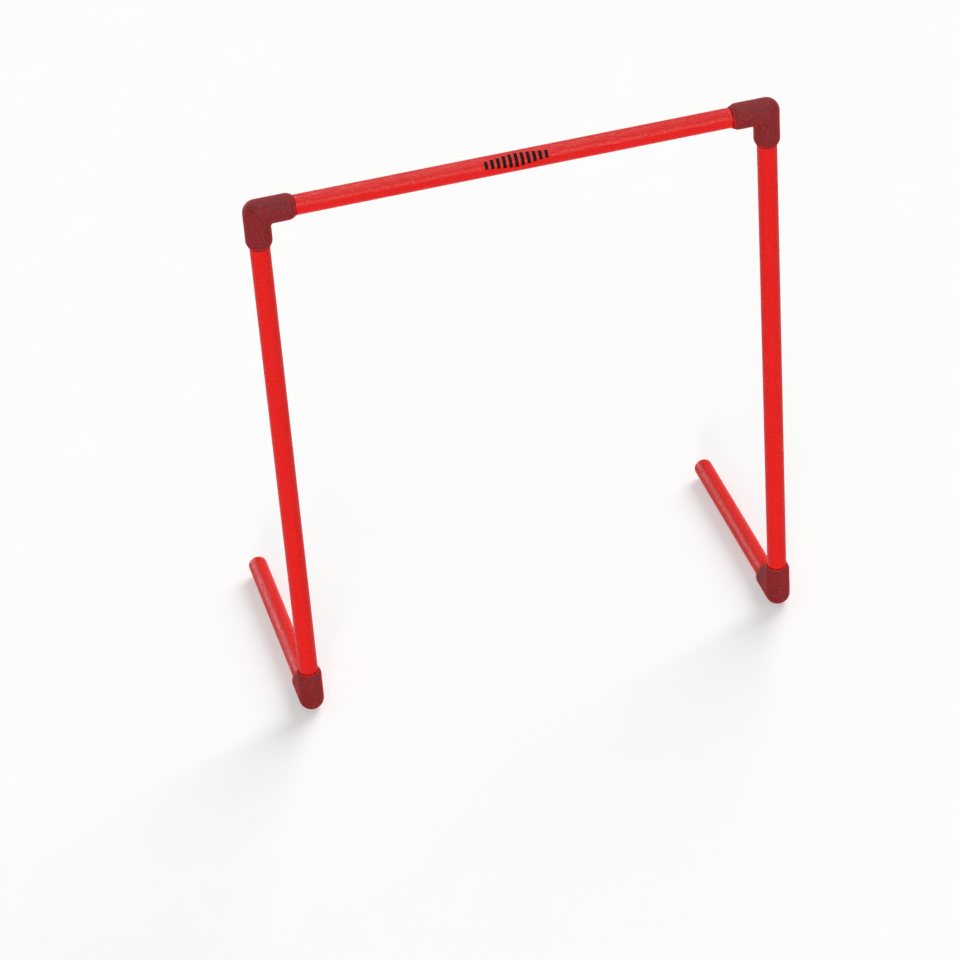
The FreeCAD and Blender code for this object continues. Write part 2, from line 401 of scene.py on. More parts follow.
gauged = add_node(
    tube_tree,
    "GeometryNodeStoreNamedAttribute",
    {"Geometry": marked.outputs["Geometry"], "Name": "past_mouths"},
    data_type="FLOAT_VECTOR",
    domain="POINT",
)
tube_tree.links.new(past_both.outputs["Vector"], gauged.inputs["Value"])
print("attributes of a tube:", [store.inputs["Name"].default_value for store in (marked, gauged)])

# %% Nodes of a tube: edges, place and finish
CORNER_ANGLE = math.radians(30)
smooth = add_node(
    tube_tree,
    "GeometryNodeSetShadeSmooth",
    {"Geometry": gauged.outputs["Geometry"], "Shade Smooth": True},
    domain="FACE",
)
edge_angle = add_node(tube_tree, "GeometryNodeInputMeshEdgeAngle")
is_corner = add_node(
    tube_tree,
    "FunctionNodeCompare",
    {0: edge_angle.outputs["Unsigned Angle"], 1: CORNER_ANGLE},
    data_type="FLOAT",
    operation="GREATER_THAN",
)
crisp = add_node(
    tube_tree,
    "GeometryNodeSetShadeSmooth",
    {
        "Geometry": smooth.outputs["Geometry"],
        "Selection": is_corner.outputs["Result"],
        "Shade Smooth": False,
    },
    domain="EDGE",
)
placed = add_node(
    tube_tree,
    "GeometryNodeTransform",
    {"Geometry": crisp.outputs["Geometry"], "Translation": given["Start"], "Rotation": given["Turn"]},
)
realized = add_node(tube_tree, "GeometryNodeRealizeInstances", {"Geometry": placed.outputs["Geometry"]})
finished = add_node(
    tube_tree,
    "GeometryNodeSetMaterial",
    {"Geometry": realized.outputs["Geometry"], "Material": given["Finish"]},
)
add_node(tube_tree, "NodeGroupOutput", {"Geometry": finished.outputs["Geometry"]})
print("tree:", tube_tree.name, "with", len(tube_tree.nodes), "nodes")

# %% Helpers that run a tree and measure what it made
def grow(name, tree, values, points=None):
    """Run a tree on a new object and keep what it makes as a plain mesh at the origin."""
    start_mesh = points or bpy.data.meshes.new(f"{name} start")
    piece = bpy.data.objects.new(name, start_mesh)
    bpy.context.scene.collection.objects.link(piece)
    modifier = piece.modifiers.new(tree.name, "NODES")
    modifier.node_group = tree
    for item in tree.interface.items_tree:
        if item.in_out == "INPUT" and item.name in values:
            modifier[item.identifier] = values[item.name]
    depsgraph = bpy.context.evaluated_depsgraph_get()
    made = bpy.data.meshes.new_from_object(
        piece.evaluated_get(depsgraph), preserve_all_data_layers=True, depsgraph=depsgraph
    )
    piece.modifiers.remove(modifier)
    piece.data = made
    made.name = name
    bpy.data.meshes.remove(start_mesh)
    return piece


def volume_of(piece):
    """Signed volume in cubic millimetres; below zero means that the faces point inwards."""
    shape = bmesh.new()
    shape.from_mesh(piece.data)
    volume = shape.calc_volume(signed=True) / MM**3
    shape.free()
    return volume


print("a tree's inputs are set by identifier, such as", tube_tree.interface.items_tree["Length"].identifier)

# %% Grow the tubes
TUBE_WALL = 2 * MM
EDGE_BREAK = 0.4 * MM
TUBE_SIDES = 128
CUT_STEP = 0.7               # metres of one long extrusion from tube to tube, so that no two look alike
NO_MOUTH = -1.0              # a depth that puts the mouth a metre past the tube's end
QUARTER = math.pi / 2
TURN_TO = {"x": (0.0, QUARTER, 0.0), "y": (-QUARTER, 0.0, 0.0), "z": (0.0, 0.0, 0.0)}
# The axis that each tube runs along, its body, and the elbows that its near and its far end sit in
TUBES = {
    "crossbar": ("x", "frame", "left_upper_elbow", "right_upper_elbow"),
    "left_upright": ("z", "frame", "left_heel_elbow", "left_upper_elbow"),
    "right_upright": ("z", "frame", "right_heel_elbow", "right_upper_elbow"),
    "left_foot_tube": ("y", "left_foot", "left_heel_elbow", None),
    "right_foot_tube": ("y", "right_foot", "right_heel_elbow", None),
}
for number, (node, (axis, body, near_elbow, far_elbow)) in enumerate(TUBES.items()):
    low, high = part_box(node)
    start = (low + high) / 2
    setattr(start, axis, getattr(low, axis))
    near_depth = getattr(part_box(near_elbow)[1] - low, axis)
    far_depth = getattr(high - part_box(far_elbow)[0], axis) if far_elbow else NO_MOUTH
    tube = grow(
        f"{node}_extruded",
        tube_tree,
        {
            "Length": getattr(high - low, axis),
            "Outer Radius": TUBE_RADIUS,
            "Wall": TUBE_WALL,
            "Edge Break": EDGE_BREAK,
            "Sides": TUBE_SIDES,
            "Cut From": CUT_STEP * number,
            "Near Depth": near_depth,
            "Far Depth": far_depth,
            "Start": start,
            "Turn": TURN_TO[axis],
            "Finish": pvc,
        },
    )
    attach(tube, body)
    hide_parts(node)
    print(f"{tube.name}: {volume_of(tube):.0f} mm3, {len(tube.data.polygons)} faces")

# %% [markdown]
# ## Moulded polypropylene
# The elbows are injection moulded. The mould was eaten out by sparks, which leaves a fine even grain, so
# the plastic looks matt and darker than the tube, and its edges catch a soft red glow. The mould's two
# halves meet in the plane of the two arms and leave a hair line there. Dust settles in the grain, and the
# ground scrapes the heels pale underneath. The rims of the mouths get a painted highlight, a brighter red
# where their rounded edge would catch the light. A painted picture would need the elbows unwrapped first.
# Nodes don't, so the CAD shape, which is right as it is, stays and only gets this finish, on Object
# coordinates, which here are places in the shared frame.

# %% Finish of the elbows: grain and dust
SPARK_GRAIN = 1.1 * MM       # the real grain is about 0.05 mm, drawn coarser so that it shows
MOTTLE = 2.6 * MM
DUST = 1.7 * MM
maroon, tree, shader = start_material("polypropylene, spark-eroded maroon")
shader.inputs["IOR"].default_value = 1.49
shader.inputs["Specular IOR Level"].default_value = 0.17
shader.inputs["Sheen Weight"].default_value = 1.0
shader.inputs["Sheen Roughness"].default_value = 0.3
shader.inputs["Sheen Tint"].default_value = hex_to_linear("#FF2420")
place = add_node(tree, "ShaderNodeTexCoord").outputs["Object"]

grain = add_node(tree, "ShaderNodeTexNoise", {"Vector": place, "Scale": 1 / SPARK_GRAIN, "Detail": 2.0})
mottle = add_node(tree, "ShaderNodeTexNoise", {"Vector": place, "Scale": 1 / MOTTLE, "Detail": 2.0})
both = add_node(
    tree, "ShaderNodeMath", {0: grain.outputs["Fac"], 1: mottle.outputs["Fac"]}, operation="ADD"
)
spread = add_node(
    tree, "ShaderNodeMapRange", {"Value": both.outputs["Value"], "From Min": 0.8, "From Max": 1.2}
)
reds = add_node(
    tree,
    "ShaderNodeMix",
    {0: spread.outputs["Result"], 6: hex_to_linear("#641217"), 7: hex_to_linear("#9A1D20")},
    data_type="RGBA",
)

dust = add_node(tree, "ShaderNodeTexNoise", {"Vector": place, "Scale": 1 / DUST, "Detail": 2.0})
dust_mask = add_node(
    tree,
    "ShaderNodeMapRange",
    {"Value": dust.outputs["Fac"], "From Min": 0.4, "From Max": 0.65, "To Max": 0.45},
)
dusty = add_node(
    tree,
    "ShaderNodeMix",
    {0: dust_mask.outputs["Result"], 6: reds.outputs[2], 7: hex_to_linear("#7C353A")},
    data_type="RGBA",
)
print(f"finish: {maroon.name}, grain drawn {SPARK_GRAIN / MM:.1f} mm wide")

# %% Finish of the elbows: mould line
FLASH_LINE = 0.3 * MM        # from the middle of the line to where it ends
FLASH_STRENGTH = 0.35
axes = add_node(tree, "ShaderNodeSeparateXYZ", {"Vector": place})
is_upper = add_node(
    tree, "ShaderNodeMath", {0: axes.outputs["Z"], 1: HALF_WAY_UP}, operation="GREATER_THAN"
)
from_upper = add_node(tree, "ShaderNodeMath", {0: axes.outputs["Y"], 1: BAR_AXIS.y}, operation="SUBTRACT")
width = add_node(tree, "ShaderNodeMath", {0: axes.outputs["X"]}, operation="ABSOLUTE")
from_heel = add_node(
    tree,
    "ShaderNodeMath",
    {0: width.outputs["Value"], 1: SIDE_X},
    operation="SUBTRACT",
)
from_plane = add_node(
    tree,
    "ShaderNodeMix",
    {0: is_upper.outputs["Value"], 2: from_heel.outputs["Value"], 3: from_upper.outputs["Value"]},
)
off_line = add_node(tree, "ShaderNodeMath", {0: from_plane.outputs[0]}, operation="ABSOLUTE")
flash = add_node(
    tree,
    "ShaderNodeMapRange",
    {"Value": off_line.outputs["Value"], "From Max": FLASH_LINE, "To Min": 1.0, "To Max": 0.0},
    interpolation_type="SMOOTHSTEP",
)
flash_mask = add_node(
    tree, "ShaderNodeMath", {0: flash.outputs["Result"], 1: FLASH_STRENGTH}, operation="MULTIPLY"
)
lined = add_node(
    tree,
    "ShaderNodeMix",
    {0: flash_mask.outputs["Value"], 6: dusty.outputs[2], 7: hex_to_linear("#B3272A")},
    data_type="RGBA",
)
print(f"mould line {2 * FLASH_LINE / MM:.1f} mm wide, in the plane of the arms")

# %% Finish of the elbows: painted highlight on the rims
RIM_HIGHLIGHT_WIDTH = 1.6 * MM          # from a mouth into the elbow
RIM_HIGHLIGHT_STRENGTH = 0.85
in_bar_mouth = add_node(
    tree, "ShaderNodeMath", {0: width.outputs["Value"], 1: BAR_MOUTH_X}, operation="SUBTRACT"
)
in_upright_mouth = add_node(
    tree, "ShaderNodeMath", {0: axes.outputs["Z"], 1: UPRIGHT_MOUTH_Z}, operation="SUBTRACT"
)
in_leg_mouth = add_node(
    tree, "ShaderNodeMath", {0: LEG_MOUTH_Z, 1: axes.outputs["Z"]}, operation="SUBTRACT"
)
in_foot_mouth = add_node(
    tree, "ShaderNodeMath", {0: FOOT_MOUTH_Y, 1: axes.outputs["Y"]}, operation="SUBTRACT"
)
upper_rim = add_node(
    tree,
    "ShaderNodeMath",
    {0: in_bar_mouth.outputs["Value"], 1: in_upright_mouth.outputs["Value"]},
    operation="MINIMUM",
)
heel_rim = add_node(
    tree,
    "ShaderNodeMath",
    {0: in_leg_mouth.outputs["Value"], 1: in_foot_mouth.outputs["Value"]},
    operation="MINIMUM",
)
from_rim = add_node(
    tree,
    "ShaderNodeMix",
    {0: is_upper.outputs["Value"], 2: heel_rim.outputs["Value"], 3: upper_rim.outputs["Value"]},
)
rim_highlight = add_node(
    tree,
    "ShaderNodeMapRange",
    {"Value": from_rim.outputs[0], "From Max": RIM_HIGHLIGHT_WIDTH, "To Min": RIM_HIGHLIGHT_STRENGTH, "To Max": 0.0},
    interpolation_type="SMOOTHSTEP",
)
# painted highlight: the rims of the mouths turn brighter red where their rounded edge would catch the light
rim_highlighted = add_node(
    tree,
    "ShaderNodeMix",
    {0: rim_highlight.outputs["Result"], 6: lined.outputs[2], 7: hex_to_linear("#D01A19")},
    data_type="RGBA",
)
print(f"highlighted rims {RIM_HIGHLIGHT_WIDTH / MM:.1f} mm wide at the mouths")

# %% Finish of the elbows: scraped undersides
SCRAPE = 2.2 * MM
SCRAPED_BELOW = 5 * MM       # above the floor
underside = add_node(
    tree,
    "ShaderNodeMapRange",
    {"Value": axes.outputs["Z"], "From Max": SCRAPED_BELOW, "To Min": 1.0, "To Max": 0.0},
)
scrapes = add_node(tree, "ShaderNodeTexNoise", {"Vector": place, "Scale": 1 / SCRAPE, "Detail": 3.0})
scrape_mask = add_node(
    tree,
    "ShaderNodeMapRange",
    {"Value": scrapes.outputs["Fac"], "From Min": 0.45, "From Max": 0.65, "To Max": 0.6},
)
scraped_at = add_node(
    tree,
    "ShaderNodeMath",
    {0: underside.outputs["Result"], 1: scrape_mask.outputs["Result"]},
    operation="MULTIPLY",
)
scraped = add_node(
    tree,
    "ShaderNodeMix",
    {0: scraped_at.outputs["Value"], 6: rim_highlighted.outputs[2], 7: hex_to_linear("#A86A64")},
    data_type="RGBA",
)
tree.links.new(scraped.outputs[2], shader.inputs["Base Color"])
print(f"heels scraped pale up to {SCRAPED_BELOW / MM:.0f} mm above the floor")

# %% Finish of the elbows: gloss and relief
SPARK_DEPTH = 0.15 * MM
FLASH_HEIGHT = 0.1 * MM
roughness = add_node(
    tree,
    "ShaderNodeMapRange",
    {"Value": mottle.outputs["Fac"], "From Min": 0.3, "From Max": 0.7, "To Min": 0.62, "To Max": 0.78},
)
tree.links.new(roughness.outputs["Result"], shader.inputs["Roughness"])
spark_relief = add_node(
    tree,
    "ShaderNodeBump",
    {"Height": grain.outputs["Fac"], "Strength": 0.5, "Distance": SPARK_DEPTH},
)
flash_relief = add_node(
    tree,
    "ShaderNodeBump",
    {
        "Height": flash.outputs["Result"],
        "Strength": 0.6,
        "Distance": FLASH_HEIGHT,
        "Normal": spark_relief.outputs["Normal"],
    },
)
tree.links.new(flash_relief.outputs["Normal"], shader.inputs["Normal"])


def dress(node, material):
    """Give a CAD node a new finish in place of its plain one."""
    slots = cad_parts[node].data.materials
    slots.clear()
    slots.append(material)


ELBOWS = ["left_upper_elbow", "right_upper_elbow", "left_heel_elbow", "right_heel_elbow"]
for node in ELBOWS:
    dress(node, maroon)
print("finish:", maroon.name, "on", len(ELBOWS), "elbows")

# %% [markdown]
# ## Moulded polyethylene
# The foot plugs are soft polyethylene, injection moulded and pressed into the tube, where the ribs on their
# hidden spigots hold them. The plastic is a little waxy: about as glossy as the tube, with a hint of light
# passing into it, and rubbed pale low down, where it meets the ground. The CAD shape stays here too, and
# the rub marks simply follow the height above the floor.

# %% Finish of the plugs
CLOUD = 4 * MM
WAX = 1.2 * MM
WAX_DEPTH = 0.1 * MM
LIGHT_DEPTH = 1.5 * MM       # how far red light passes into the plastic
MOST_RUBBED = 3 * MM         # heights above the floor
LEAST_RUBBED = 9 * MM
plug_red, tree, shader = start_material("polyethylene, moulded red")
shader.inputs["IOR"].default_value = 1.51
shader.inputs["Specular IOR Level"].default_value = 0.1
shader.inputs["Subsurface Weight"].default_value = 0.08
shader.inputs["Subsurface Radius"].default_value = (1.0, 0.1, 0.08)
shader.inputs["Subsurface Scale"].default_value = LIGHT_DEPTH
place = add_node(tree, "ShaderNodeTexCoord").outputs["Object"]
cloud = add_node(tree, "ShaderNodeTexNoise", {"Vector": place, "Scale": 1 / CLOUD, "Detail": 3.0})
wax = add_node(tree, "ShaderNodeTexNoise", {"Vector": place, "Scale": 1 / WAX, "Detail": 2.0})
reds = add_node(
    tree,
    "ShaderNodeMix",
    {0: cloud.outputs["Fac"], 6: hex_to_linear("#DC1613"), 7: hex_to_linear("#E61B18")},
    data_type="RGBA",
)
axes = add_node(tree, "ShaderNodeSeparateXYZ", {"Vector": place})
near_floor = add_node(
    tree,
    "ShaderNodeMapRange",
    {
        "Value": axes.outputs["Z"],
        "From Min": MOST_RUBBED,
        "From Max": LEAST_RUBBED,
        "To Min": 0.5,
        "To Max": 0.0,
    },
)
rubs = add_node(
    tree,
    "ShaderNodeMath",
    {0: near_floor.outputs["Result"], 1: wax.outputs["Fac"]},
    operation="MULTIPLY",
)
rubbed = add_node(
    tree,
    "ShaderNodeMix",
    {0: rubs.outputs["Value"], 6: reds.outputs[2], 7: hex_to_linear("#C8766E")},
    data_type="RGBA",
)
tree.links.new(rubbed.outputs[2], shader.inputs["Base Color"])
roughness = add_node(
    tree,
    "ShaderNodeMapRange",
    {"Value": cloud.outputs["Fac"], "From Min": 0.3, "From Max": 0.7, "To Min": 0.22, "To Max": 0.45},
)
tree.links.new(roughness.outputs["Result"], shader.inputs["Roughness"])
relief = add_node(
    tree, "ShaderNodeBump", {"Height": wax.outputs["Fac"], "Strength": 0.25, "Distance": WAX_DEPTH}
)
tree.links.new(relief.outputs["Normal"], shader.inputs["Normal"])
for node in ("left_foot_plug", "right_foot_plug"):
    dress(node, plug_red)
print("finish:", plug_red.name)

# %% [markdown]
# ## Collars of solvent cement
# Six of the eight sockets are cemented. Pushing the tube in squeezes a little cement out, and it dries as a
# thin collar on the tube, close against the mouth. Its colour is painted shade: dark and patchy, for the
# shadow in the gap at the mouth. The two dry sockets, where the feet swivel, have none. A torus would be too
# even, so a tree sets a flattened ring on a point at each mouth, turns it along the tube and then moves its
# skin in and out with noise, which differs from mouth to mouth.

# %% Finish of the cement, with painted shade
CEMENT_SHADE_PATCH = 3 * MM
cement, tree, shader = start_material("solvent cement, dark with painted shade")
shader.inputs["IOR"].default_value = 1.52
shader.inputs["Specular IOR Level"].default_value = 0.08
place = add_node(tree, "ShaderNodeTexCoord").outputs["Object"]
shade_patches = add_node(tree, "ShaderNodeTexNoise", {"Vector": place, "Scale": 1 / CEMENT_SHADE_PATCH, "Detail": 2.0})
shade_patch_mask = add_node(
    tree, "ShaderNodeMapRange", {"Value": shade_patches.outputs["Fac"], "From Min": 0.35, "From Max": 0.6}
)
# painted shade: the cement goes from dark red to near black in patches, for the shadow in the gap at the
# mouth
cement_shaded = add_node(
    tree,
    "ShaderNodeMix",
    {0: shade_patch_mask.outputs["Result"], 6: hex_to_linear("#B41C1A"), 7: hex_to_linear("#4A0A09")},
    data_type="RGBA",
)
tree.links.new(cement_shaded.outputs[2], shader.inputs["Base Color"])
roughness = add_node(
    tree,
    "ShaderNodeMapRange",
    {"Value": shade_patches.outputs["Fac"], "From Min": 0.3, "From Max": 0.7, "To Min": 0.4, "To Max": 0.65},
)
tree.links.new(roughness.outputs["Result"], shader.inputs["Roughness"])
print("finish:", cement.name)

# %% Nodes of the cement collars: a ring at each mouth
RING_STEPS = 96              # round the tube
BEAD_STEPS = 12              # round the bead itself
collar_tree = bpy.data.node_groups.new("cement collars", "GeometryNodeTree")
given = add_inputs(
    collar_tree,
    {
        "Mouths": "NodeSocketGeometry",
        "Tube Radius": "NodeSocketFloat",
        "Half Width": "NodeSocketFloat",
        "Height": "NodeSocketFloat",
        "Unevenness": "NodeSocketFloat",
        "Lump Size": "NodeSocketFloat",
        "Seed": "NodeSocketFloat",
        "Finish": "NodeSocketMaterial",
    },
)
ring = add_node(
    collar_tree,
    "GeometryNodeCurvePrimitiveCircle",
    {"Resolution": RING_STEPS, "Radius": given["Tube Radius"]},
)
bead = add_node(collar_tree, "GeometryNodeCurvePrimitiveCircle", {"Resolution": BEAD_STEPS, "Radius": 1.0})
flat = add_node(
    collar_tree,
    "ShaderNodeCombineXYZ",
    {"X": given["Height"], "Y": given["Half Width"], "Z": 1.0},
)
flat_bead = add_node(
    collar_tree,
    "GeometryNodeTransform",
    {"Geometry": bead.outputs["Curve"], "Scale": flat.outputs["Vector"]},
)
collar = add_node(
    collar_tree,
    "GeometryNodeCurveToMesh",
    {"Curve": ring.outputs["Curve"], "Profile Curve": flat_bead.outputs["Geometry"]},
)
way = add_node(collar_tree, "GeometryNodeInputNamedAttribute", {"Name": "way"}, data_type="FLOAT_VECTOR")
turned = add_node(
    collar_tree,
    "FunctionNodeAlignRotationToVector",
    {"Vector": way.outputs["Attribute"]},
    axis="Z",
)
set_out = add_node(
    collar_tree,
    "GeometryNodeInstanceOnPoints",
    {
        "Points": given["Mouths"],
        "Instance": collar.outputs["Mesh"],
        "Rotation": turned.outputs["Rotation"],
    },
)
realized = add_node(collar_tree, "GeometryNodeRealizeInstances", {"Geometry": set_out.outputs["Instances"]})
print("tree:", collar_tree.name, "with", RING_STEPS * BEAD_STEPS, "faces to a collar")

# %% Nodes of the cement collars: an uneven skin
lump_scale = add_node(collar_tree, "ShaderNodeMath", {0: 1.0, 1: given["Lump Size"]}, operation="DIVIDE")
lumps = add_node(
    collar_tree,
    "ShaderNodeTexNoise",
    {"W": given["Seed"], "Scale": lump_scale.outputs["Value"], "Detail": 1.0},
    noise_dimensions="4D",
)
swing = add_node(collar_tree, "ShaderNodeMath", {0: lumps.outputs["Fac"], 1: 0.5}, operation="SUBTRACT")
reach = add_node(
    collar_tree,
    "ShaderNodeMath",
    {0: swing.outputs["Value"], 1: given["Unevenness"]},
    operation="MULTIPLY",
)
normal = add_node(collar_tree, "GeometryNodeInputNormal")
outwards = add_node(
    collar_tree,
    "ShaderNodeVectorMath",
    {0: normal.outputs["Normal"], "Scale": reach.outputs["Value"]},
    operation="SCALE",
)
uneven = add_node(
    collar_tree,
    "GeometryNodeSetPosition",
    {"Geometry": realized.outputs["Geometry"], "Offset": outwards.outputs["Vector"]},
)
smooth = add_node(
    collar_tree,
    "GeometryNodeSetShadeSmooth",
    {"Geometry": uneven.outputs["Geometry"], "Shade Smooth": True},
)
finished = add_node(
    collar_tree,
    "GeometryNodeSetMaterial",
    {"Geometry": smooth.outputs["Geometry"], "Material": given["Finish"]},
)
add_node(collar_tree, "NodeGroupOutput", {"Geometry": finished.outputs["Geometry"]})
print("tree:", collar_tree.name, "with", len(collar_tree.nodes), "nodes")

# %% Grow the cement collars
COLLAR_STEP = 0.8 * MM       # from a mouth's rim to the middle of its collar
COLLAR_HALF_WIDTH = 0.7 * MM
COLLAR_HEIGHT = 0.18 * MM
COLLAR_UNEVENNESS = 0.35 * MM
COLLAR_LUMP = 4 * MM
SEED_STEP = 3.7
# For each body, the middle of each collar and the way that the mouth faces
MOUTHS = {
    "frame": [
        ((-BAR_MOUTH_X + COLLAR_STEP, BAR_AXIS.y, BAR_AXIS.z), (1, 0, 0)),
        ((BAR_MOUTH_X - COLLAR_STEP, BAR_AXIS.y, BAR_AXIS.z), (-1, 0, 0)),
        ((-SIDE_X, UPRIGHT_AXIS.y, UPRIGHT_MOUTH_Z - COLLAR_STEP), (0, 0, -1)),
        ((SIDE_X, UPRIGHT_AXIS.y, UPRIGHT_MOUTH_Z - COLLAR_STEP), (0, 0, -1)),
    ],
    "left_foot": [((-SIDE_X, FOOT_MOUTH_Y + COLLAR_STEP, FOOT_AXIS_Z), (0, 1, 0))],
    "right_foot": [((SIDE_X, FOOT_MOUTH_Y + COLLAR_STEP, FOOT_AXIS_Z), (0, 1, 0))],
}
for number, (body, mouths) in enumerate(MOUTHS.items()):
    mouth_points = bpy.data.meshes.new(f"{body} mouths")
    mouth_points.from_pydata([point for point, _ in mouths], [], [])
    ways = mouth_points.attributes.new("way", "FLOAT_VECTOR", "POINT")
    for item, (_, direction) in zip(ways.data, mouths):
        item.vector = direction
    collars = grow(
        f"{body}_cement_collars",
        collar_tree,
        {
            "Tube Radius": TUBE_RADIUS,
            "Half Width": COLLAR_HALF_WIDTH,
            "Height": COLLAR_HEIGHT,
            "Unevenness": COLLAR_UNEVENNESS,
            "Lump Size": COLLAR_LUMP,
            "Seed": SEED_STEP * (number + 1),
            "Finish": cement,
        },
        mouth_points,
    )
    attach(collars, body)
    print(f"{collars.name}: {volume_of(collars):.1f} mm3, {len(collars.data.polygons)} faces")

# %% [markdown]
# ## A printed centre scale
# A plain black scale marks the middle of the crossbar, on the side that faces the runner: short bars,
# tallest in the middle, of the kind that any maker could print. Ink could be painted in the tube's own
# finish, but a real film of ink has clean edges that a baked picture would blur. So a tree sets thin bars
# in a row, makes the outer ones shorter and wraps them round the tube. The ink is pressed through a fine
# mesh, which leaves it almost matt and a little uneven.

# %% Finish of the ink
MESH_MARK = 0.7 * MM         # a real mesh is about 0.1 mm wide, drawn coarser so that it shows
ink, tree, shader = start_material("screen-printing ink, black")
shader.inputs["Specular IOR Level"].default_value = 0.06
place = add_node(tree, "ShaderNodeTexCoord").outputs["Object"]
mesh_marks = add_node(tree, "ShaderNodeTexNoise", {"Vector": place, "Scale": 1 / MESH_MARK, "Detail": 2.0})
blacks = add_node(
    tree,
    "ShaderNodeMix",
    {0: mesh_marks.outputs["Fac"], 6: hex_to_linear("#0C0505"), 7: hex_to_linear("#1B0B0B")},
    data_type="RGBA",
)
tree.links.new(blacks.outputs[2], shader.inputs["Base Color"])
roughness = add_node(
    tree,
    "ShaderNodeMapRange",
    {"Value": mesh_marks.outputs["Fac"], "From Min": 0.3, "From Max": 0.7, "To Min": 0.5, "To Max": 0.7},
)
tree.links.new(roughness.outputs["Result"], shader.inputs["Roughness"])
print("finish:", ink.name)

# %% Nodes of the centre scale: a row of bars
STEPS_ROUND = 17             # vertices of a bar round the tube
scale_tree = bpy.data.node_groups.new("printed scale", "GeometryNodeTree")
given = add_inputs(
    scale_tree,
    {
        "Bars": "NodeSocketInt",
        "Pitch": "NodeSocketFloat",
        "Bar Width": "NodeSocketFloat",
        "Tallest": "NodeSocketFloat",
        "Shortest": "NodeSocketFloat",
        "Film": "NodeSocketFloat",
        "Tube Radius": "NodeSocketFloat",
        "Facing": "NodeSocketFloat",
        "Axis": "NodeSocketVector",
        "Finish": "NodeSocketMaterial",
    },
)
last = add_node(scale_tree, "ShaderNodeMath", {0: given["Bars"], 1: 1.0}, operation="SUBTRACT")
middle = add_node(scale_tree, "ShaderNodeMath", {0: last.outputs["Value"], 1: 0.5}, operation="MULTIPLY")
index = add_node(scale_tree, "GeometryNodeInputIndex")
from_middle = add_node(
    scale_tree,
    "ShaderNodeMath",
    {0: index.outputs["Index"], 1: middle.outputs["Value"]},
    operation="SUBTRACT",
)
steps = add_node(scale_tree, "ShaderNodeMath", {0: from_middle.outputs["Value"]}, operation="ABSOLUTE")
bar_height = add_node(
    scale_tree,
    "ShaderNodeMapRange",
    {
        "Value": steps.outputs["Value"],
        "From Max": middle.outputs["Value"],
        "To Min": given["Tallest"],
        "To Max": given["Shortest"],
    },
)
bar_size = add_node(
    scale_tree,
    "ShaderNodeCombineXYZ",
    {"X": given["Bar Width"], "Y": bar_height.outputs["Result"], "Z": given["Film"]},
)
spacing = add_node(scale_tree, "ShaderNodeCombineXYZ", {"X": given["Pitch"]})
back_by = add_node(
    scale_tree,
    "ShaderNodeMath",
    {0: middle.outputs["Value"], 1: given["Pitch"]},
    operation="MULTIPLY",
)
first_x = add_node(
    scale_tree, "ShaderNodeMath", {0: 0.0, 1: back_by.outputs["Value"]}, operation="SUBTRACT"
)
first = add_node(scale_tree, "ShaderNodeCombineXYZ", {"X": first_x.outputs["Value"]})
row = add_node(
    scale_tree,
    "GeometryNodeMeshLine",
    {
        "Count": given["Bars"],
        "Start Location": first.outputs["Vector"],
        "Offset": spacing.outputs["Vector"],
    },
    mode="OFFSET",
)
unit_bar = add_node(
    scale_tree,
    "GeometryNodeMeshCube",
    {"Size": (1.0, 1.0, 1.0), "Vertices X": 2, "Vertices Y": STEPS_ROUND, "Vertices Z": 2},
)
bars = add_node(
    scale_tree,
    "GeometryNodeInstanceOnPoints",
    {
        "Points": row.outputs["Mesh"],
        "Instance": unit_bar.outputs["Mesh"],
        "Scale": bar_size.outputs["Vector"],
    },
)
realized = add_node(scale_tree, "GeometryNodeRealizeInstances", {"Geometry": bars.outputs["Instances"]})
print("tree:", scale_tree.name, "with", len(given) - 1, "inputs")

# %% Nodes of the centre scale: round the tube
position = add_node(scale_tree, "GeometryNodeInputPosition").outputs["Position"]
flat_place = add_node(scale_tree, "ShaderNodeSeparateXYZ", {"Vector": position})
round_by = add_node(
    scale_tree,
    "ShaderNodeMath",
    {0: flat_place.outputs["Y"], 1: given["Tube Radius"]},
    operation="DIVIDE",
)
angle = add_node(
    scale_tree,
    "ShaderNodeMath",
    {0: round_by.outputs["Value"], 1: given["Facing"]},
    operation="ADD",
)
radius = add_node(
    scale_tree,
    "ShaderNodeMath",
    {0: flat_place.outputs["Z"], 1: given["Tube Radius"]},
    operation="ADD",
)
cosine = add_node(scale_tree, "ShaderNodeMath", {0: angle.outputs["Value"]}, operation="COSINE")
sine = add_node(scale_tree, "ShaderNodeMath", {0: angle.outputs["Value"]}, operation="SINE")
to_front = add_node(
    scale_tree,
    "ShaderNodeMath",
    {0: cosine.outputs["Value"], 1: radius.outputs["Value"]},
    operation="MULTIPLY",
)
front = add_node(
    scale_tree, "ShaderNodeMath", {0: to_front.outputs["Value"], 1: -1.0}, operation="MULTIPLY"
)
upwards = add_node(
    scale_tree,
    "ShaderNodeMath",
    {0: sine.outputs["Value"], 1: radius.outputs["Value"]},
    operation="MULTIPLY",
)
wrapped_at = add_node(
    scale_tree,
    "ShaderNodeCombineXYZ",
    {"X": flat_place.outputs["X"], "Y": front.outputs["Value"], "Z": upwards.outputs["Value"]},
)
wrapped = add_node(
    scale_tree,
    "GeometryNodeSetPosition",
    {
        "Geometry": realized.outputs["Geometry"],
        "Position": wrapped_at.outputs["Vector"],
        "Offset": given["Axis"],
    },
)
finished = add_node(
    scale_tree,
    "GeometryNodeSetMaterial",
    {"Geometry": wrapped.outputs["Geometry"], "Material": given["Finish"]},
)
add_node(scale_tree, "NodeGroupOutput", {"Geometry": finished.outputs["Geometry"]})
print("tree:", scale_tree.name, "with", len(scale_tree.nodes), "nodes")

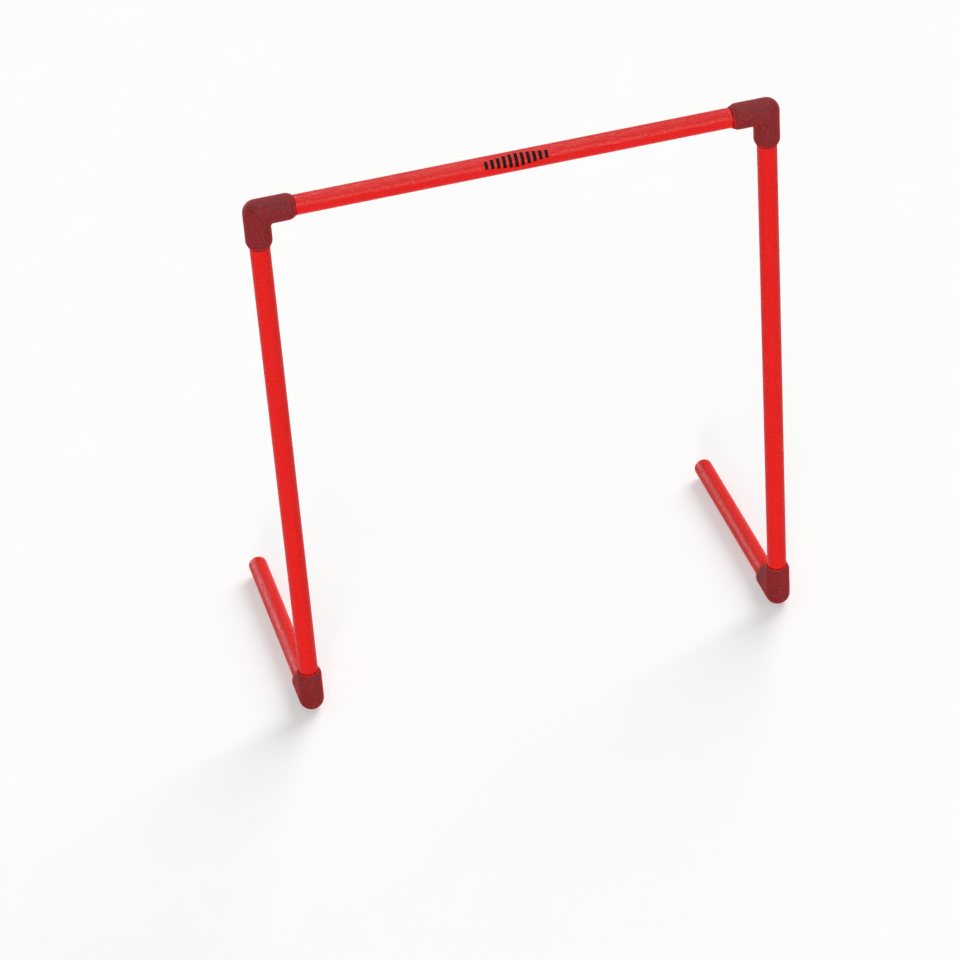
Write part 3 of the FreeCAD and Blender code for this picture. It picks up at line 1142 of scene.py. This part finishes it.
# %% Grow the centre scale
BAR_COUNT = 11
BAR_PITCH = 6 * MM
BAR_WIDTH = 3.4 * MM
TALLEST_BAR = 15 * MM
SHORTEST_BAR = 8 * MM
INK_FILM = 0.08 * MM         # half of it lies in the tube's skin
PRINT_ANGLE = math.radians(36)   # above the level line to the front
centre_scale = grow(
    "crossbar_centre_scale",
    scale_tree,
    {
        "Bars": BAR_COUNT,
        "Pitch": BAR_PITCH,
        "Bar Width": BAR_WIDTH,
        "Tallest": TALLEST_BAR,
        "Shortest": SHORTEST_BAR,
        "Film": INK_FILM,
        "Tube Radius": TUBE_RADIUS,
        "Facing": PRINT_ANGLE,
        "Axis": BAR_AXIS,
        "Finish": ink,
    },
)
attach(centre_scale, "frame")
print(f"{centre_scale.name}: {volume_of(centre_scale):.2f} mm3, {len(centre_scale.data.polygons)} faces")

# %% [markdown]
# ## Floor and surroundings
# The hurdle stands on a wide sheet of matt paper. The paper is under white, so nothing on it clips. A faint
# glow that only the camera and the gloss can see lifts it to almost white: the shadow under the feet stays,
# and the hurdle gets no more light. The world lights the scene evenly. Seen directly or in a gloss, it is
# as pale as the paper, so that no horizon shows.

# %% Floor
FLOOR_HALF = 20.0            # metres
FLOOR_LIFT = 0.37            # strength of the glow
PULP = 60 * MM               # cloudiness of the paper, far coarser than its fibres, so that it shows


def seen_ray(tree):
    """1 for what the camera sees, directly, in a gloss or through a clear piece, and 0 for other light."""
    ray = add_node(tree, "ShaderNodeLightPath").outputs
    direct = add_node(
        tree,
        "ShaderNodeMath",
        {0: ray["Is Camera Ray"], 1: ray["Is Glossy Ray"]},
        operation="MAXIMUM",
    )
    seen = add_node(
        tree,
        "ShaderNodeMath",
        {0: direct.outputs["Value"], 1: ray["Is Transmission Ray"]},
        operation="MAXIMUM",
    )
    return seen.outputs["Value"]


paper, tree, shader = start_material("matt paper, white")
shader.inputs["Roughness"].default_value = 0.9
shader.inputs["Specular IOR Level"].default_value = 0.0
place = add_node(tree, "ShaderNodeTexCoord").outputs["Object"]
pulp = add_node(tree, "ShaderNodeTexNoise", {"Vector": place, "Scale": 1 / PULP, "Detail": 3.0})
whites = add_node(
    tree,
    "ShaderNodeMix",
    {0: pulp.outputs["Fac"], 6: hex_to_linear("#D9D9D8"), 7: hex_to_linear("#DCDCDC")},
    data_type="RGBA",
)
tree.links.new(whites.outputs[2], shader.inputs["Base Color"])
shader.inputs["Emission Color"].default_value = (1.0, 1.0, 1.0, 1.0)
lifted = add_node(tree, "ShaderNodeMath", {0: seen_ray(tree), 1: FLOOR_LIFT}, operation="MULTIPLY")
tree.links.new(lifted.outputs["Value"], shader.inputs["Emission Strength"])
floor_mesh = bpy.data.meshes.new("floor")
corners = [(-FLOOR_HALF, -FLOOR_HALF, 0), (FLOOR_HALF, -FLOOR_HALF, 0)]
corners += [(FLOOR_HALF, FLOOR_HALF, 0), (-FLOOR_HALF, FLOOR_HALF, 0)]
floor_mesh.from_pydata(corners, [], [(0, 1, 2, 3)])
floor_mesh.materials.append(paper)
floor = bpy.data.objects.new("floor", floor_mesh)
bpy.context.scene.collection.objects.link(floor)
print("floor:", paper.name, f"{2 * FLOOR_HALF:.0f} m wide")

# %% World
AMBIENT = 0.34               # strength of the light on the scene
SEEN = 0.98                  # strength where it is seen; 1 is white
world = bpy.data.worlds.new("studio")
world.use_nodes = True
bpy.context.scene.world = world
tree = world.node_tree
tree.nodes.clear()
strength = add_node(
    tree, "ShaderNodeMapRange", {"Value": seen_ray(tree), "To Min": AMBIENT, "To Max": SEEN}
)
background = add_node(
    tree,
    "ShaderNodeBackground",
    {"Color": (1.0, 1.0, 1.0, 1.0), "Strength": strength.outputs["Result"]},
)
add_node(tree, "ShaderNodeOutputWorld", {"Surface": background.outputs["Background"]})
print("world:", world.name, "with ambient light", AMBIENT)

# %% [markdown]
# ## Soft studio light
# Lamps close to an object light the floor unevenly, and then the paper looks grey at the horizon. So the
# light that falls on the hurdle comes from far away: the even world and two suns, one low in front and a
# broader one from behind on the right. Their strength is written as the brightness that they give white
# paper that faces them, and they are switched off for gloss, where a sun would show as a hard streak. Gloss
# needs something else to mirror. Three white cards do that: two show as the pale band along the crossbar,
# and one as the haze on the feet. They are switched off for diffuse light, so that moving a card changes
# the gloss alone.

# %% Suns
def broad_sun(name, towards, spread, brightness):
    """Even light from one side of the sky; towards points from the hurdle to the light."""
    light = bpy.data.lights.new(name, "SUN")
    light.angle = spread
    light.energy = brightness * math.pi
    lamp = bpy.data.objects.new(name, light)
    lamp.rotation_euler = Vector(towards).to_track_quat("Z", "Y").to_euler()
    lamp.visible_glossy = False
    bpy.context.scene.collection.objects.link(lamp)
    print(f"{name}: {light.energy:.2f} W/m2")


broad_sun("front sun", towards=(-0.34, -0.93, 0.14), spread=math.radians(16), brightness=0.59)
broad_sun("back right sun", towards=(0.6, 0.58, 0.55), spread=math.radians(40), brightness=0.80)

# %% Cards that show in the gloss
def white_card(name, centre, aim, width, height, brightness):
    """A lit card of a given brightness, where 1 is white, that faces a point and shows in gloss alone."""
    light = bpy.data.lights.new(name, "AREA")
    light.shape = "RECTANGLE"
    light.size = width
    light.size_y = height
    light.energy = brightness * math.pi * width * height
    lamp = bpy.data.objects.new(name, light)
    lamp.location = centre
    lamp.rotation_euler = (Vector(aim) - Vector(centre)).to_track_quat("-Z", "Y").to_euler()
    lamp.visible_camera = False
    lamp.visible_diffuse = False
    bpy.context.scene.collection.objects.link(lamp)
    print(f"{name}: {light.energy:.1f} W")


white_card(
    "front card", centre=(1.2, -4.7, 2.45), aim=(0.0, -0.1, 0.5), width=1.5, height=2.6, brightness=19.0
)
white_card(
    "overhead card", centre=(0.7, 0.3, 4.2), aim=(0.7, 0.3, 0.0), width=1.0, height=7.0, brightness=11.5
)
white_card(
    "back card", centre=(-2.5, 3.6, 1.3), aim=(0.0, 0.0, 0.1), width=3.0, height=2.7, brightness=6.4
)

# %% [markdown]
# ## Camera
# The photograph was taken from above and a little to the left, with a long lens, and held slightly askew.
# The angles, the distance and the lens below were fitted to the corners of the hurdle in the picture. The
# camera looks along one direction at one aim point, and then rolls about that line.

# %% Camera at the photograph's angle
AZIMUTH = math.radians(-13.3)
ELEVATION = math.radians(35.03)
ROLL = math.radians(-4.5)
DISTANCE = 3.801             # metres
PIVOT = Vector((0.0, -0.06645, 0.30508))    # the point that the camera was turned about in the fit
AIM_LEFT = 0.03774           # from there to the aim point, in metres across the picture
AIM_DOWN = 0.09486
SENSOR_WIDTH = 36.0          # millimetres, as the lens is
LENS = 140.7
back = Vector(
    (
        math.sin(AZIMUTH) * math.cos(ELEVATION),
        -math.cos(AZIMUTH) * math.cos(ELEVATION),
        math.sin(ELEVATION),
    )
)
level_right = Vector((math.cos(AZIMUTH), math.sin(AZIMUTH), 0.0))
level_up = back.cross(level_right)
right = math.cos(ROLL) * level_right + math.sin(ROLL) * level_up
up = -math.sin(ROLL) * level_right + math.cos(ROLL) * level_up
aim = PIVOT - AIM_LEFT * right - AIM_DOWN * up
camera_data = bpy.data.cameras.new("camera")
camera_data.sensor_width = SENSOR_WIDTH
camera_data.lens = LENS
camera = bpy.data.objects.new("camera", camera_data)
turn = Matrix((right, up, back)).transposed().to_4x4()
camera.matrix_world = Matrix.Translation(aim + DISTANCE * back) @ turn
bpy.context.scene.collection.objects.link(camera)
bpy.context.scene.camera = camera
bpy.context.scene.view_settings.view_transform = "Standard"
print("camera at", [round(c, 3) for c in camera.matrix_world.translation])
